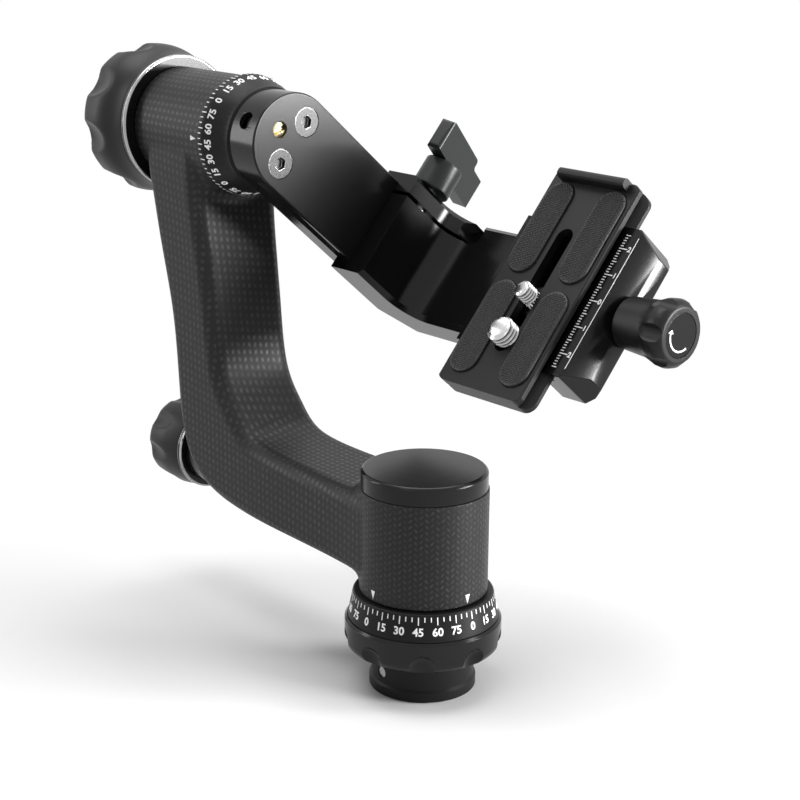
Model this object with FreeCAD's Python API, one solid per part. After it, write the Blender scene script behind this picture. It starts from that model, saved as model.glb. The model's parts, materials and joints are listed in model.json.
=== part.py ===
import FreeCAD
import Part
import math
import os

V = FreeCAD.Vector
X_AXIS = V(1, 0, 0)
Y_AXIS = V(0, 1, 0)
Z_AXIS = V(0, 0, 1)

# Pan base: everything round the vertical pan axis, heights from the underside.
neck_r = 16.7
neck_lip_r = 17.4
neck_lip_h = 3.0
thread_r = 4.05
thread_depth = 11.0
bush_r = 7.5
grip_z0 = 13.0
grip_z1 = 23.8
grip_r = 25.5
grip_round = 3.6
grip_dents = 9
grip_dent_r = 5.2
grip_dent_depth = 2.6
grip_dent_top = 20.6
scale_top_z = 32.7
scale_top_r = 22.6
spindle_r = 9.0

# One-piece carbon arm: pan housing, lower arm, elbow, upright and tilt housing.
pan_house_r = 20.8
pan_house_h = 34.2
pan_house_z0 = scale_top_z + 0.4
pan_house_z1 = pan_house_z0 + pan_house_h
pan_bore_r = 17.0
cap_r = 20.4
cap_h = 6.2
cap_chamfer = 0.8
cap_plug_h = 4.0
cap_top_z = pan_house_z1 + cap_h
arm_reach = 112.6
arm_rise = 117.75
arm_low_z = pan_house_z0 + 17.8
arm_half_thick = 13.9
arm_half_wide = 16.6
arm_corner_r = 5.5
arm_blend_r = 6.0
tilt_z = arm_low_z + arm_rise
tilt_house_r = 19.5
tilt_house_x0 = -arm_reach - 18.6
tilt_house_x1 = -arm_reach + 20.4
tilt_bore_r = 15.0

# Pan lock: collar on the back of the elbow, lobed knob and the rod to the spindle.
pan_lock_z = arm_low_z + 0.1
collar_r = 12.6
collar_len = 17.4
collar_x0 = -arm_reach - 2.8
collar_x1 = collar_x0 + collar_len
ring_gap = 0.35
ring_t = 2.4
pan_knob_r = 16.2
pan_knob_ring_r = 15.0
pan_knob_len = 18.6
pan_knob_lobes = 8
rod_r = 4.0
rod_clear = 0.06

# Tilt lock knob and tilt shaft.
tilt_knob_r = 26.6
tilt_knob_ring_r = 23.6
tilt_knob_len = 22.0
tilt_knob_lobes = 8
shaft_r = 8.0
shaft_clear = 0.05

# Swing arm, drawn hanging straight down from the tilt axis, then tilted.
swing_tilt = 49.16
ring_rim_r = 20.4
ring_x0 = tilt_house_x1 + ring_gap
ring_x1 = ring_x0 + 12.85
hub_r = 16.6
rail_half = 16.6
rail_thick = 12.7
rail_back_x = ring_x1 + 0.3
rail_front_x = rail_back_x + rail_thick
rail_end_n = -61.0
groove_depth = 2.0
groove_x0 = rail_front_x - 6.2
groove_x1 = groove_x0 + 4.6
screw_head_r = 4.9
screw_n = 0.1
screw_l = 8.4
pin_r = 2.8
pin_n = 7.4

# L bracket gripping the rail.
bracket_half = 20.3
bracket_top_n = -46.0
bracket_front_x = rail_front_x + 8.4
bracket_back_x = rail_front_x - 7.6
bracket_low_n = -86.0
bracket_bevel = 1.8
bracket_travel = 12.0
platform_n = -73.2
bend_r = 11.0
rail_clear = 0.05
slit_l = 12.6
slit_w = 1.4
relief_r = 4.6
relief_l = 16.2
relief_depth = 6.0
relief_x = bracket_front_x + 8.6
lever_x = rail_front_x + 4.2
lever_n = -56.8
stud_r = 2.6
stud_in = 26.0
post_r = 7.0
post_len = 11.0
wing_len = 27.0
wing_t = 5.6
wing_h = 11.4
wing_turn = 18.0
low_wing_reach = 10.0
low_wing_drop = 3.6

# Camera plate, pads and camera screws.
plate_half = 19.0
plate_len = 82.8
plate_top_n = -64.4
plate_t = 8.4
plate_neck = 15.8
plate_flange = 19.6
plate_corner_r = 4.0
slot_r = 3.3
slot_step_r = 6.6
slot_l0 = -26.5
slot_l1 = 21.0
pad_w = 11.8
pad_len = 35.6
pad_x = 11.55
pad_l = 19.6
pad_rise = 0.9
pad_sink = 1.0
lip_h = 4.2
lip_t = 3.4
lip_x0 = -14.5
lip_x1 = 15.0
quarter_r = 3.175
three_eighth_r = 4.76
quarter_l = -5.5
three_eighth_l = -20.7

# Quick-release clamp.
clamp_half = 25.0
clamp_base_n = -74.6
clamp_low_n = -86.0
jaw_top_n = -68.4
jaw_clear = 0.25
fixed_jaw_x = -plate_half - 5.2
bracket_end_x = -plate_half - 0.6
jaw_top_x = plate_half + 6.8
jaw_out_x = jaw_top_x + 4.2
jaw_mid_n = -76.6
split_x = 13.4
split_gap = 1.2
guide_r = 2.0
guide_l = 16.0
clamp_screw_r = 3.0
clamp_knob_n = -78.6
clamp_knob_x = jaw_out_x + 0.4
clamp_knob_len = 21.6
clamp_knob_r0 = 8.6
clamp_knob_r1 = 11.2
clamp_knob_lobes = 6

parts = {}


def box(x0, x1, y0, y1, z0, z1):
    return Part.makeBox(x1 - x0, y1 - y0, z1 - z0, V(x0, y0, z0))


def rod(r, x0, x1, y=0.0, z=0.0):
    return Part.makeCylinder(r, x1 - x0, V(x0, y, z), X_AXIS)


def post(r, z0, z1, x=0.0, y=0.0):
    return Part.makeCylinder(r, z1 - z0, V(x, y, z0), Z_AXIS)


def along_y(r, y0, y1, x=0.0, z=0.0):
    return Part.makeCylinder(r, y1 - y0, V(x, y0, z), Y_AXIS)


def spin(points, axis, at=V(0, 0, 0)):
    """Turn a closed outline of (radius, height) about the Z or the X axis."""
    if axis == Z_AXIS:
        flat = [V(r, 0, h) for r, h in points]
    else:
        flat = [V(h, 0, r) for r, h in points]
    face = Part.Face(Part.makePolygon(flat + [flat[0]]))
    solid = face.revolve(V(0, 0, 0), axis, 360)
    solid.translate(at)
    return solid


def prism_y(points, y0, y1):
    """Extrude an (x, z) outline along Y."""
    flat = [V(x, y0, z) for x, z in points]
    face = Part.Face(Part.makePolygon(flat + [flat[0]]))
    return face.extrude(V(0, y1 - y0, 0))


def prism_z(points, z0, z1):
    """Extrude an (x, y) outline along Z."""
    flat = [V(x, y, z0) for x, y in points]
    face = Part.Face(Part.makePolygon(flat + [flat[0]]))
    return face.extrude(V(0, 0, z1 - z0))


def round_edges(solid, radius, test):
    edges = [e for e in solid.Edges if test(e)]
    return solid.makeFillet(radius, edges)


def bevel_edges(solid, width, test):
    edges = [e for e in solid.Edges if test(e)]
    return solid.makeChamfer(width, edges)


def slot_shape(half_w, l0, l1, z0, z1, x=0.0):
    """Upright slot with round ends, long in Y."""
    middle = box(x - half_w, x + half_w, l0 + half_w, l1 - half_w, z0, z1)
    ends = [post(half_w, z0, z1, x, l0 + half_w), post(half_w, z0, z1, x, l1 - half_w)]
    return middle.multiFuse(ends).removeSplitter()


def to_swing(shape):
    """Tilt a shape drawn hanging down and lift it to the tilt axis."""
    moved = shape.copy()
    moved.rotate(V(0, 0, 0), X_AXIS, swing_tilt)
    moved.translate(V(0, 0, tilt_z))
    return moved


def save(name, shape):
    parts[name] = shape


def base_neck():
    outline = [(0, 0), (neck_lip_r, 0), (neck_lip_r, neck_lip_h), (neck_r, neck_lip_h + 0.7),
               (neck_r, grip_z0), (0, grip_z0)]
    neck = spin(outline, Z_AXIS)
    neck = neck.cut(post(bush_r, 0, thread_depth + 2.0))
    side_hole = rod(1.9, -neck_r - 1.0, -bush_r - 1.0, 0, 7.2)
    side_hole.rotate(V(0, 0, 0), Z_AXIS, 86)
    neck = neck.cut(side_hole)
    save("base_neck", neck)
    bush = post(bush_r, 0, thread_depth + 2.0).cut(post(thread_r, 0, thread_depth))
    save("thread_bush", bush)
    screw = rod(1.8, -neck_r + 0.4, -bush_r - 1.0, 0, 7.2)
    screw.rotate(V(0, 0, 0), Z_AXIS, 86)
    save("base_set_screw", screw)


def grip_ring():
    steps = 5
    low = []
    for k in range(steps + 1):
        a = math.radians(90.0 * k / steps)
        low.append((grip_r - grip_round + grip_round * math.sin(a),
                    grip_z0 + grip_round - grip_round * math.cos(a)))
    ring = spin([(0, grip_z0)] + low + [(grip_r, grip_z1 - 0.8), (grip_r - 0.8, grip_z1), (0, grip_z1)],
                Z_AXIS)
    dent = post(grip_dent_r, grip_z0 - 1, grip_dent_top - grip_dent_r)
    dent = dent.fuse(Part.makeSphere(grip_dent_r, V(0, 0, grip_dent_top - grip_dent_r)))
    dent.translate(V(grip_r + grip_dent_r - grip_dent_depth, 0, 0))
    cuts = []
    for k in range(grip_dents):
        one = dent.copy()
        one.rotate(V(0, 0, 0), Z_AXIS, -42.0 + 360.0 * k / grip_dents)
        cuts.append(one)
    save("grip_ring", ring.cut(Part.makeCompound(cuts)))


def pan_scale():
    cone = spin([(0, grip_z1), (grip_r - 1.0, grip_z1), (scale_top_r + 0.2, scale_top_z - 0.5),
                 (scale_top_r - 0.3, scale_top_z), (0, scale_top_z)], Z_AXIS)
    save("pan_scale_ring", cone)
    top = pan_house_z1 - cap_plug_h - 1.0
    spindle = spin([(0, scale_top_z), (spindle_r + 5.0, scale_top_z),
                    (spindle_r + 5.0, scale_top_z + 0.9), (spindle_r, scale_top_z + 0.9),
                    (spindle_r, top), (0, top)], Z_AXIS)
    save("pan_spindle", spindle)


def arm_section(cx, cz, turn, half_thick, half_wide, corner):
    """Rounded rectangle across the arm, its plane turned about Y."""
    a = half_thick
    b = half_wide
    r = corner
    k = r * (1 - math.sqrt(0.5))
    ring = [(-a + r, -b), (a - r, -b), (a, -b + r), (a, b - r), (a - r, b), (-a + r, b),
            (-a, b - r), (-a, -b + r)]
    mids = [None, (a - k, -b + k), None, (a - k, b - k), None, (-a + k, b - k), None, (-a + k, -b + k)]
    edges = []
    for i in range(8):
        p = ring[i]
        q = ring[(i + 1) % 8]
        if mids[i] is None:
            edges.append(Part.makeLine(V(0, p[1], p[0]), V(0, q[1], q[0])))
        else:
            m = mids[i]
            edges.append(Part.Arc(V(0, p[1], p[0]), V(0, m[1], m[0]), V(0, q[1], q[0])).toShape())
    wire = Part.Wire(edges)
    wire.rotate(V(0, 0, 0), Y_AXIS, turn)
    wire.translate(V(cx, 0, cz))
    return wire


def blend_seam(solid, house_r, radius):
    """Fillet the seam where the moulded arm runs into a round housing."""
    seam = []
    for edge in solid.Edges:
        surfaces = [face.Surface for face in solid.ancestorsOfType(edge, Part.Face)]
        tubes = [s for s in surfaces if isinstance(s, Part.Cylinder)]
        moulded = [s for s in surfaces if not isinstance(s, (Part.Cylinder, Part.Plane))]
        if len(tubes) == 1 and len(moulded) == 1 and abs(tubes[0].Radius - house_r) < 0.01:
            seam.append(edge)
    return solid.makeFillet(radius, seam)


def carbon_arm():
    # Shares of the reach and the rise, the section's turn, and shares of its thickness and width.
    stations = [(0.053, 0.0, 0, 1.0, 1.18), (0.178, 0.0, 0, 1.0, 1.08), (0.32, 0.0, 0, 0.99, 1.02),
                (0.497, 0.003, 0, 0.99, 1.0), (0.666, 0.018, 12, 1.05, 1.0), (0.839, 0.094, 45, 1.32, 1.0),
                (0.913, 0.273, 76, 1.01, 1.0), (0.94, 0.476, 83.5, 0.95, 1.01),
                (0.979, 0.689, 82.5, 1.01, 1.05), (0.999, 0.859, 87, 1.06, 1.12),
                (1.0, 0.977, 90, 1.065, 1.13)]
    wires = []
    for reach, rise, turn, thick, wide in stations:
        wires.append(arm_section(-arm_reach * reach, arm_low_z + arm_rise * rise, turn,
                                 arm_half_thick * thick, arm_half_wide * wide, arm_corner_r))
    bend = Part.makeLoft(wires, True, False)
    pan_house = post(pan_house_r, pan_house_z0, pan_house_z1)
    tilt_house = rod(tilt_house_r, tilt_house_x0, tilt_house_x1, 0, tilt_z)
    arm = bend.multiFuse([pan_house, tilt_house])
    arm = blend_seam(arm, pan_house_r, arm_blend_r)
    arm = blend_seam(arm, tilt_house_r, arm_blend_r)
    arm = arm.cut(post(pan_bore_r, pan_house_z0 - 1, pan_house_z1 + 1))
    arm = arm.cut(rod(tilt_bore_r, tilt_house_x0 - 1, tilt_house_x1 + 1, 0, tilt_z))
    arm = arm.cut(rod(collar_r, collar_x0 - 30, collar_x1, 0, pan_lock_z))
    arm = arm.cut(rod(rod_r + rod_clear, collar_x1 - 1, -pan_bore_r + 4, 0, pan_lock_z))
    save("carbon_arm", arm.removeSplitter())


def arm_fittings():
    low = spin([(pan_bore_r, pan_house_z0), (pan_bore_r, pan_house_z0 + 7.0),
                (spindle_r + shaft_clear, pan_house_z0 + 7.0),
                (spindle_r + shaft_clear, scale_top_z + 1.3), (spindle_r + 5.4, scale_top_z + 1.3),
                (spindle_r + 5.4, pan_house_z0)], Z_AXIS)
    save("pan_bearing_lower", low)
    up0 = pan_house_z1 - cap_plug_h - 7.0
    up1 = pan_house_z1 - cap_plug_h
    high = spin([(pan_bore_r, up0), (pan_bore_r, up1), (spindle_r + shaft_clear, up1),
                 (spindle_r + shaft_clear, up0)], Z_AXIS)
    save("pan_bearing_upper", high)
    cap = spin([(0, pan_house_z1 - cap_plug_h), (pan_bore_r, pan_house_z1 - cap_plug_h),
                (pan_bore_r, pan_house_z1), (cap_r, pan_house_z1), (cap_r, cap_top_z - cap_chamfer),
                (cap_r - cap_chamfer, cap_top_z), (0, cap_top_z)], Z_AXIS)
    save("pan_cap", cap)
    for name, x0 in (("tilt_bearing_outer", tilt_house_x0), ("tilt_bearing_inner", tilt_house_x1 - 8.0)):
        ring = rod(tilt_bore_r, x0, x0 + 8.0, 0, tilt_z)
        save(name, ring.cut(rod(shaft_r + shaft_clear, x0 - 1, x0 + 9.0, 0, tilt_z)))
    collar = rod(collar_r, collar_x0, collar_x1, 0, pan_lock_z)
    save("pan_lock_collar", collar.cut(rod(rod_r + rod_clear, collar_x0 - 1, collar_x1 + 1, 0, pan_lock_z)))


def lobed_knob(x_flat, length, r_out, r_ring, lobes, dish, phase):
    """Hand knob along -X: domed lobes that fade into the round skirt next to its ring."""
    skirt = 0.22 * length
    edge = 0.10 * r_out
    outline = [(0, x_flat), (r_ring - 0.4, x_flat), (r_ring + 0.3, x_flat - skirt),
               (r_out, x_flat - 0.62 * length), (r_out, x_flat - length + 2.2 * edge),
               (r_out - 0.35 * edge, x_flat - length + edge), (r_out - edge, x_flat - length + 0.35 * edge),
               (r_out - 2.2 * edge, x_flat - length), (0.56 * r_out, x_flat - length),
               (0.56 * r_out - 0.8 * dish, x_flat - length + dish), (0, x_flat - length + dish)]
    knob = spin(outline, X_AXIS)
    flute_r = 0.30 * r_out
    cutter = Part.makeCylinder(flute_r, 2 * length, V(0, 0, 0), V(-1, 0, 0))
    cutter = cutter.fuse(Part.makeSphere(flute_r, V(0, 0, 0)))
    cutter.rotate(V(0, 0, 0), Y_AXIS, -7.0)
    cutter.translate(V(x_flat - skirt - 0.35 * flute_r, 0, r_out + 0.62 * flute_r))
    cuts = []
    for k in range(lobes):
        one = cutter.copy()
        one.rotate(V(0, 0, 0), X_AXIS, phase + 360.0 * k / lobes)
        cuts.append(one)
    return knob.cut(Part.makeCompound(cuts))


def rotary_knobs():
    face = tilt_house_x0 - ring_gap
    ring = spin([(shaft_r, face), (tilt_knob_ring_r - 0.5, face), (tilt_knob_ring_r, face - 0.5),
                 (tilt_knob_ring_r, face - ring_t + 0.5), (tilt_knob_ring_r - 0.5, face - ring_t),
                 (shaft_r, face - ring_t)], X_AXIS, V(0, 0, tilt_z))
    hole = rod(shaft_r + shaft_clear, face - ring_t - 14.0, face + 1, 0, tilt_z)
    save("tilt_knob_ring", ring.cut(hole))
    knob = lobed_knob(face - ring_t, tilt_knob_len, tilt_knob_r, tilt_knob_ring_r, tilt_knob_lobes, 2.4, 12.0)
    knob.translate(V(0, 0, tilt_z))
    save("tilt_knob", knob.cut(hole))
    face = collar_x0 - ring_gap
    ring = spin([(0, face), (pan_knob_ring_r - 0.4, face), (pan_knob_ring_r, face - 0.4),
                 (pan_knob_ring_r, face - ring_t + 0.4), (pan_knob_ring_r - 0.4, face - ring_t),
                 (0, face - ring_t)], X_AXIS, V(0, 0, pan_lock_z))
    save("pan_knob_ring", ring)
    knob = lobed_knob(face - ring_t, pan_knob_len, pan_knob_r, pan_knob_ring_r, pan_knob_lobes, 1.6, 8.0)
    knob.translate(V(0, 0, pan_lock_z))
    save("pan_knob", knob)
    save("pan_lock_rod", rod(rod_r, face, -spindle_r - 0.4, 0, pan_lock_z))


def tilt_ring():
    ring = spin([(0, ring_x0), (ring_rim_r, ring_x0), (ring_rim_r, ring_x0 + 1.6),
                 (ring_rim_r - 0.6, ring_x0 + 3.6), (hub_r + 0.7, ring_x1 - 2.2),
                 (hub_r + 0.7, ring_x1 - 0.6), (hub_r, ring_x1), (0, ring_x1)], X_AXIS)
    save("tilt_scale_ring", to_swing(ring))
    shaft_end = tilt_house_x0 - ring_gap - ring_t - 12.0
    save("tilt_shaft", to_swing(rod(shaft_r, shaft_end, ring_x0)))


def swing_rail():
    plate = box(rail_back_x, rail_front_x, -rail_half, rail_half, rail_end_n, 0)
    plate = plate.fuse(rod(hub_r, rail_back_x - 0.3, rail_front_x)).removeSplitter()
    plate = round_edges(plate, 0.6, lambda e: abs(e.CenterOfMass.x - rail_front_x) < 0.01)
    mid = 0.5 * (groove_x0 + groove_x1)
    half = 0.5 * (groove_x1 - groove_x0)
    cuts = []
    for side in (-1, 1):
        rim = side * (rail_half + 0.01)
        vee = Part.makePolygon([V(mid - half, rim, 0), V(mid, side * (rail_half - groove_depth), 0),
                                V(mid + half, rim, 0), V(mid - half, rim, 0)])
        cuts.append(Part.Face(vee).extrude(V(0, 0, rail_end_n - 1)))
    head_depth = 2.0
    for l in (-screw_l, screw_l):
        cuts.append(rod(screw_head_r + 0.15, rail_front_x - head_depth, rail_front_x + 1, l, screw_n))
        cuts.append(rod(2.6, rail_back_x - 1, rail_front_x + 1, l, screw_n))
    cuts.append(rod(pin_r, rail_front_x - 6.0, rail_front_x + 1, 0, pin_n))
    set_hole = Part.makeCylinder(3.0, 8.0, V(-72.6, 0, 10.5), Z_AXIS)
    set_hole.rotate(V(0, 0, 0), X_AXIS, 12)
    cuts.append(set_hole)
    save("swing_arm", to_swing(plate.cut(Part.makeCompound(cuts))))
    screw = Part.makeCylinder(2.2, 4.0, V(-72.6, 0, 10.6), Z_AXIS)
    screw.rotate(V(0, 0, 0), X_AXIS, 12)
    save("hub_set_screw", to_swing(screw))
    for name, l in (("arm_screw_low", -screw_l), ("arm_screw_high", screw_l)):
        head = rod(screw_head_r, rail_front_x - head_depth, rail_front_x - 0.1, l, screw_n)
        shank = rod(2.6, rail_back_x - 0.3, rail_front_x - head_depth, l, screw_n)
        socket = hex_hole(1.9, rail_front_x - 1.9, rail_front_x + 1, l, screw_n)
        save(name, to_swing(head.fuse(shank).cut(socket)))
    pin = rod(pin_r, rail_front_x - 6.0, rail_front_x - 0.2, 0, pin_n)
    save("arm_pin", to_swing(pin))


def hex_hole(flat_r, x0, x1, y, z):
    corner = flat_r / math.cos(math.radians(30))
    ring = []
    for k in range(6):
        a = math.radians(60 * k + 30)
        ring.append(V(x0, y + corner * math.cos(a), z + corner * math.sin(a)))
    face = Part.Face(Part.makePolygon(ring + [ring[0]]))
    return face.extrude(V(x1 - x0, 0, 0))


def bracket():
    body = prism_y([(bracket_back_x, bracket_top_n), (bracket_front_x, bracket_top_n),
                    (bracket_front_x, platform_n), (bracket_end_x, platform_n),
                    (bracket_end_x, bracket_low_n), (bracket_back_x + 9.0, bracket_low_n),
                    (bracket_back_x, bracket_low_n + 9.0)], -bracket_half, bracket_half)
    inner = (bracket_front_x, platform_n)
    body = round_edges(body, bend_r, lambda e: abs(e.CenterOfMass.x - inner[0]) < 0.01
                       and abs(e.CenterOfMass.z - inner[1]) < 0.01)
    body = bevel_edges(body, bracket_bevel, lambda e: e.CenterOfMass.x > bracket_back_x + 1.0
                       and abs(abs(e.CenterOfMass.y) - bracket_half) < 0.01
                       and e.CenterOfMass.z > bracket_low_n + 1.0
                       and e.CenterOfMass.x < bracket_end_x - 1.0
                       and abs(e.CenterOfMass.z - bracket_top_n) > 0.01)
    c = rail_clear
    channel_end = rail_end_n - bracket_travel - 1.0
    channel = box(bracket_back_x - 1, rail_front_x + c, -rail_half - c, rail_half + c, channel_end,
                  bracket_top_n + 1)
    body = body.cut(channel)
    mid = 0.5 * (groove_x0 + groove_x1)
    half = 0.5 * (groove_x1 - groove_x0) - 0.12
    ridges = []
    for side in (-1, 1):
        tip = side * (rail_half - groove_depth + 0.12)
        root = side * (rail_half + 0.3)
        vee = Part.makePolygon([V(mid - half, root, bracket_top_n), V(mid, tip, bracket_top_n),
                                V(mid + half, root, bracket_top_n), V(mid - half, root, bracket_top_n)])
        ridges.append(Part.Face(vee).extrude(V(0, 0, channel_end - bracket_top_n)))
    body = body.multiFuse(ridges)
    slit = box(rail_front_x - 1.0, relief_x, slit_l - slit_w / 2, slit_l + slit_w / 2,
               bracket_low_n + 5.5, bracket_top_n + 1)
    relief = post(relief_r, platform_n - relief_depth, bracket_top_n, relief_x, relief_l)
    body = body.cut(slit).cut(relief)
    body = body.cut(along_y(stud_r, bracket_half - stud_in, bracket_half + 1, lever_x, lever_n))
    save("bracket", to_swing(body.removeSplitter()))


def lever():
    stud = along_y(stud_r, bracket_half - stud_in, bracket_half + 1.2, lever_x, lever_n)
    save("clamp_stud", to_swing(stud))
    y0 = bracket_half + 0.35
    y1 = y0 + post_len
    body = along_y(post_r, y0, y1, lever_x, lever_n)
    body = round_edges(body, 0.7, lambda e: len(e.Vertexes) == 1)
    body = body.cut(along_y(stud_r + 0.05, y0 - 1, y0 + 3.0, lever_x, lever_n))
    neck = Part.makeCone(post_r - 1.5, 0.5 * wing_t + 0.6, 1.6, V(lever_x, y1 - 0.6, lever_n), Y_AXIS)
    high = box(-wing_t / 2, wing_t / 2, y1, y1 + wing_h, -wing_len / 2, wing_len / 2)
    low = box(-wing_t / 2, wing_t / 2, y1 - low_wing_drop, y1 + wing_h - low_wing_drop,
              -wing_len / 2 - low_wing_reach, -post_r + 1.0)
    wings = high.fuse(low).removeSplitter()
    wings = round_edges(wings, 1.5, lambda e: abs(e.Length - wing_h) < 0.01 or abs(e.Length - wing_t) < 0.01)
    wings.rotate(V(0, 0, 0), Y_AXIS, wing_turn)
    wings.translate(V(lever_x, 0, lever_n))
    save("bracket_lever", to_swing(body.multiFuse([neck, wings]).removeSplitter()))


def clamp_parts():
    left = prism_y([(bracket_end_x, clamp_low_n), (bracket_end_x, platform_n),
                    (fixed_jaw_x + 1.0, platform_n), (fixed_jaw_x, platform_n + 1.0),
                    (fixed_jaw_x, jaw_top_n), (-plate_half + 0.2, jaw_top_n),
                    (-plate_neck - jaw_clear, jaw_top_n - 0.4),
                    (-plate_flange - jaw_clear, plate_top_n - plate_t + 1.4),
                    (-plate_flange - jaw_clear, clamp_base_n + 1.7), (split_x, clamp_base_n + 1.7),
                    (split_x, clamp_low_n)], -clamp_half, clamp_half)
    holes = []
    for l in (-guide_l, guide_l):
        holes.append(rod(guide_r + 0.05, split_x - 14, split_x + 1, l, clamp_knob_n))
    holes.append(rod(clamp_screw_r + 0.05, split_x - 22, split_x + 1, 0, clamp_knob_n))
    left = left.cut(Part.makeCompound(holes))
    seat = bracket_half + 0.01
    left = left.cut(box(fixed_jaw_x - 1, bracket_end_x, -seat, seat, clamp_low_n - 1, platform_n + 0.01))
    save("clamp_base", to_swing(left))
    x0 = split_x + split_gap
    low = clamp_low_n
    jaw = prism_y([(x0, low), (x0, clamp_base_n + 1.7), (plate_flange + jaw_clear, clamp_base_n + 1.7),
                   (plate_flange + jaw_clear, plate_top_n - plate_t + 1.4),
                   (plate_neck + jaw_clear, jaw_top_n - 0.4),
                   (plate_half - 0.2, jaw_top_n), (jaw_top_x, jaw_top_n), (jaw_out_x, jaw_mid_n),
                   (jaw_out_x, low + 2.5), (jaw_out_x - 2.5, low)], -clamp_half - 3.0, clamp_half + 3.0)
    for side in (-1, 1):
        edge = clamp_half + 3.0
        corner = prism_z([(jaw_top_x - 1.0, side * (edge + 0.1)), (jaw_out_x + 0.1, side * (edge + 0.1)),
                          (jaw_out_x + 0.1, side * (edge - 5.0))], low - 1, jaw_top_n + 1)
        jaw = jaw.cut(corner)
    jaw = jaw.cut(rod(clamp_screw_r + 0.05, x0 - 1, jaw_out_x + 1, 0, clamp_knob_n))
    save("clamp_jaw", to_swing(jaw))
    pins = [rod(guide_r, split_x - 12, x0, l, clamp_knob_n) for l in (-guide_l, guide_l)]
    for name, pin in zip(("guide_pin_low", "guide_pin_high"), pins):
        save(name, to_swing(pin))


def clamp_knob():
    x0 = clamp_knob_x
    x1 = x0 + clamp_knob_len
    outline = [(0, x0), (clamp_knob_r0 - 0.6, x0), (clamp_knob_r0, x0 + 0.6),
               (clamp_knob_r0 + 0.9, x0 + 0.55 * clamp_knob_len),
               (clamp_knob_r1 - 0.3, x0 + 0.72 * clamp_knob_len), (clamp_knob_r1, x1 - 3.4),
               (clamp_knob_r1 - 0.5, x1 - 1.6), (clamp_knob_r1 - 1.8, x1 - 0.3), (clamp_knob_r1 - 2.8, x1),
               (0, x1)]
    knob = spin(outline, X_AXIS)
    flute_r = 3.6
    cutter = Part.makeCylinder(flute_r, clamp_knob_len, V(0, 0, 0), X_AXIS)
    cutter = cutter.fuse(Part.makeSphere(flute_r, V(0, 0, 0)))
    cutter.translate(V(x0 + 0.66 * clamp_knob_len, 0, clamp_knob_r1 + 1.7))
    cuts = []
    for k in range(clamp_knob_lobes):
        one = cutter.copy()
        one.rotate(V(0, 0, 0), X_AXIS, 30.0 + 360.0 * k / clamp_knob_lobes)
        cuts.append(one)
    cuts.append(rod(7.3, x1 - 1.0, x1 + 1))
    knob = knob.cut(Part.makeCompound(cuts))
    knob.translate(V(0, 0, clamp_knob_n))
    save("clamp_knob", to_swing(knob))
    disc = rod(7.2, x1 - 1.0, x1 - 0.1, 0, clamp_knob_n)
    save("clamp_knob_disc", to_swing(disc))
    save("clamp_screw", to_swing(rod(clamp_screw_r, split_x - 18, x0, 0, clamp_knob_n)))


def camera_plate():
    top = plate_top_n
    low = plate_top_n - plate_t
    half = plate_len / 2
    outline = [(-plate_half + 0.5, top), (plate_half - 0.5, top), (plate_half, top - 0.5),
               (plate_half, top - 2.2), (plate_neck, top - 4.0), (plate_neck, top - 4.4),
               (plate_flange, low + 1.4), (plate_flange, low), (-plate_flange, low),
               (-plate_flange, low + 1.4), (-plate_neck, top - 4.4), (-plate_neck, top - 4.0),
               (-plate_half, top - 2.2), (-plate_half, top - 0.5)]
    plate = prism_y(outline, -half, half)
    keep = box(-plate_flange, plate_flange, -half, half, low - 1, top + 1)
    keep = round_edges(keep, plate_corner_r, lambda e: abs(e.CenterOfMass.z - (low + top) / 2) < 0.01
                       and e.Length > plate_t)
    plate = plate.common(keep)
    cuts = [slot_shape(slot_r, slot_l0, slot_l1, low - 1, top + 1),
            slot_shape(slot_step_r, slot_l0 - 3.3, slot_l1 + 3.3, low - 1, top - 3.2)]
    for x in (-pad_x, pad_x):
        for l in (-pad_l, pad_l):
            cuts.append(slot_shape(pad_w / 2 + 0.15, l - pad_len / 2 - 0.15, l + pad_len / 2 + 0.15,
                                   top - pad_sink, top + 1, x))
    plate = plate.cut(Part.makeCompound(cuts))
    lip = box(lip_x0, lip_x1, half - lip_t, half, top - 1.0, top + lip_h)
    lip = round_edges(lip, 1.4, lambda e: e.CenterOfMass.z > top + lip_h - 0.01
                      and abs(e.CenterOfMass.x) < 1.0)
    save("camera_plate", to_swing(plate.fuse(lip).removeSplitter()))
    names = iter(("pad_a", "pad_b", "pad_c", "pad_d"))
    for x in (-pad_x, pad_x):
        for l in (-pad_l, pad_l):
            pad = slot_shape(pad_w / 2, l - pad_len / 2, l + pad_len / 2, top - pad_sink, top + pad_rise, x)
            pad = round_edges(pad, 0.4, lambda e: abs(e.CenterOfMass.z - (top + pad_rise)) < 0.01)
            save(next(names), to_swing(pad))


def camera_screws():
    top = plate_top_n
    low = plate_top_n - plate_t
    for name, r, l in (("screw_quarter", quarter_r, quarter_l),
                       ("screw_three_eighth", three_eighth_r, three_eighth_l)):
        neck = slot_r - 0.35
        shank = post(neck, low + 2.9, top + 0.4, 0, l)
        head = post(5.6, low + 0.5, top - 3.5, 0, l)
        thread = post(r, top + 0.3, top + 5.4, 0, l)
        thread = thread.makeChamfer(0.6, [e for e in thread.Edges if e.CenterOfMass.z > top + 5.3])
        screw = head.multiFuse([shank, thread]).removeSplitter()
        groove = box(-5.6, 5.6, l - 0.7, l + 0.7, low, low + 1.9)
        save(name, to_swing(screw.cut(groove)))


def export_all():
    os.makedirs("parts", exist_ok=True)
    for name, shape in parts.items():
        shape.exportStep("parts/%s.step" % name)


base_neck()
grip_ring()
pan_scale()
carbon_arm()
arm_fittings()
rotary_knobs()
tilt_ring()
swing_rail()
bracket()
lever()
clamp_parts()
clamp_knob()
camera_plate()
camera_screws()
export_all()
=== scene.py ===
import json
import math

import bmesh
import bpy
from mathutils import Matrix, Vector

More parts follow.
